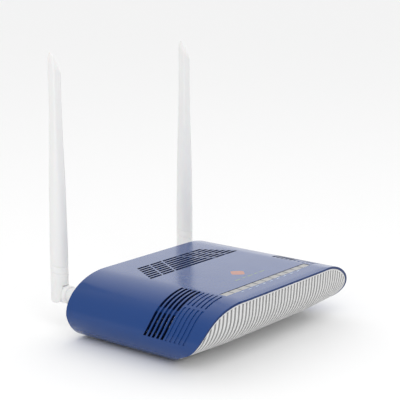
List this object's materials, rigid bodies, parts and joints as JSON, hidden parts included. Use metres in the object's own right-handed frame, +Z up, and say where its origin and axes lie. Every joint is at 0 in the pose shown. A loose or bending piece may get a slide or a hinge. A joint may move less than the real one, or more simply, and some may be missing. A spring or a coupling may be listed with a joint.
{
  "type": "optical network terminal",
  "caption": "Desk-top optical network terminal with a wrap-around blue shell, ribbed white front, lamp strip, rear sockets and upright folding antennas.",
  "frame": {"origin": "on the desk plane, under the middle of the whole object's footprint, antennas upright", "axes": "+X to the right seen from the front, +Y from the ribbed front to the sockets, +Z up"},
  "size_m": [0.187, 0.1655, 0.2125],
  "materials": {
    "blue_shell": "semi-gloss moulded",
    "white_case": "satin moulded",
    "antenna_white": "satin moulded",
    "lamp_window": "milky translucent",
    "lamp": "clear resin",
    "circuit_board": "solder mask",
    "socket_black": "moulded",
    "gold_contact": "gold flash",
    "plated_steel": "tin plated",
    "white_insert": "moulded",
    "button_black": "fine texture",
    "green_adapter": "moulded",
    "ceramic_sleeve": "polished",
    "gold_can": "plated",
    "chip_black": "epoxy",
    "thermal_pad": "matt",
    "heat_sink": "anodised",
    "capacitor": "sleeved",
    "screw_steel": "zinc plated",
    "foot_rubber": "matt",
    "label_paper": "blank film",
    "coax_grey": "matt jacket"
  },
  "bodies": {
    "case": {"top_shell": "blue_shell", "front_fascia": "white_case", "base_tray": "white_case", "rear_panel": "white_case", "light_guide": "lamp_window", "status_lamps": "lamp", "main_board": "circuit_board", "lan_jacks": "socket_black", "lan_contacts": "gold_contact", "phone_jack": "socket_black", "phone_contacts": "gold_contact", "usb_socket": "plated_steel", "usb_tongue": "white_insert", "dc_socket": "socket_black", "dc_pin": "plated_steel", "power_switch": "socket_black", "reset_switch": "socket_black", "fibre_adapter": "green_adapter", "fibre_ferrule": "ceramic_sleeve", "optical_module": "gold_can", "side_switches": "socket_black", "main_chip": "chip_black", "thermal_pad": "thermal_pad", "heat_sink": "heat_sink", "memory_chips": "chip_black", "wifi_shields": "plated_steel", "lan_transformers": "chip_black", "phone_line_chip": "chip_black", "power_coils": "chip_black", "capacitors": "capacitor", "antenna_sockets": "gold_contact", "board_screws": "screw_steel", "case_screws": "screw_steel", "rubber_feet": "foot_rubber", "rating_label": "label_paper", "left_coax": "coax_grey", "right_coax": "coax_grey"},
    "power_button": {"power_button": "button_black"},
    "reset_plunger": {"reset_plunger": "white_insert"},
    "wifi_button": {"wifi_button": "blue_shell"},
    "wps_button": {"wps_button": "blue_shell"},
    "left_swivel": {"left_swivel": "antenna_white", "left_swivel_nut": "plated_steel"},
    "left_antenna": {"left_antenna_cover": "antenna_white", "left_hinge_pins": "screw_steel", "left_antenna_strip": "circuit_board", "left_antenna_lead": "coax_grey"},
    "right_swivel": {"right_swivel": "antenna_white", "right_swivel_nut": "plated_steel"},
    "right_antenna": {"right_antenna_cover": "antenna_white", "right_hinge_pins": "screw_steel", "right_antenna_strip": "circuit_board", "right_antenna_lead": "coax_grey"}
  },
  "joints": [
    {"name": "power_press", "type": "slide", "parent": "case", "child": "power_button", "axis": [0, -1, 0], "range_m": [0, 0.0018]},
    {"name": "reset_press", "type": "slide", "parent": "case", "child": "reset_plunger", "axis": [0, -1, 0], "range_m": [0, 0.0004], "stiffness_N_per_m": 400, "springref_m": -0.0003},
    {"name": "wifi_press", "type": "slide", "parent": "case", "child": "wifi_button", "axis": [-1, 0, 0], "range_m": [0, 0.0008], "stiffness_N_per_m": 400, "springref_m": -0.0005},
    {"name": "wps_press", "type": "slide", "parent": "case", "child": "wps_button", "axis": [-1, 0, 0], "range_m": [0, 0.0008], "stiffness_N_per_m": 400, "springref_m": -0.0005},
    {"name": "left_antenna_turn", "type": "hinge", "parent": "case", "child": "left_swivel", "pos_m": [-0.075, 0.05133, 0.0291], "axis": [0, 1, 0], "range_deg": [-90, 20]},
    {"name": "left_antenna_fold", "type": "hinge", "parent": "left_swivel", "child": "left_antenna", "pos_m": [-0.075, 0.07593, 0.0291], "axis": [-1, 0, 0], "range_deg": [0, 90]},
    {"name": "right_antenna_turn", "type": "hinge", "parent": "case", "child": "right_swivel", "pos_m": [0.075, 0.05133, 0.0291], "axis": [0, 1, 0], "range_deg": [-20, 90]},
    {"name": "right_antenna_fold", "type": "hinge", "parent": "right_swivel", "child": "right_antenna", "pos_m": [0.075, 0.07593, 0.0291], "axis": [-1, 0, 0], "range_deg": [0, 90]}
  ]
}
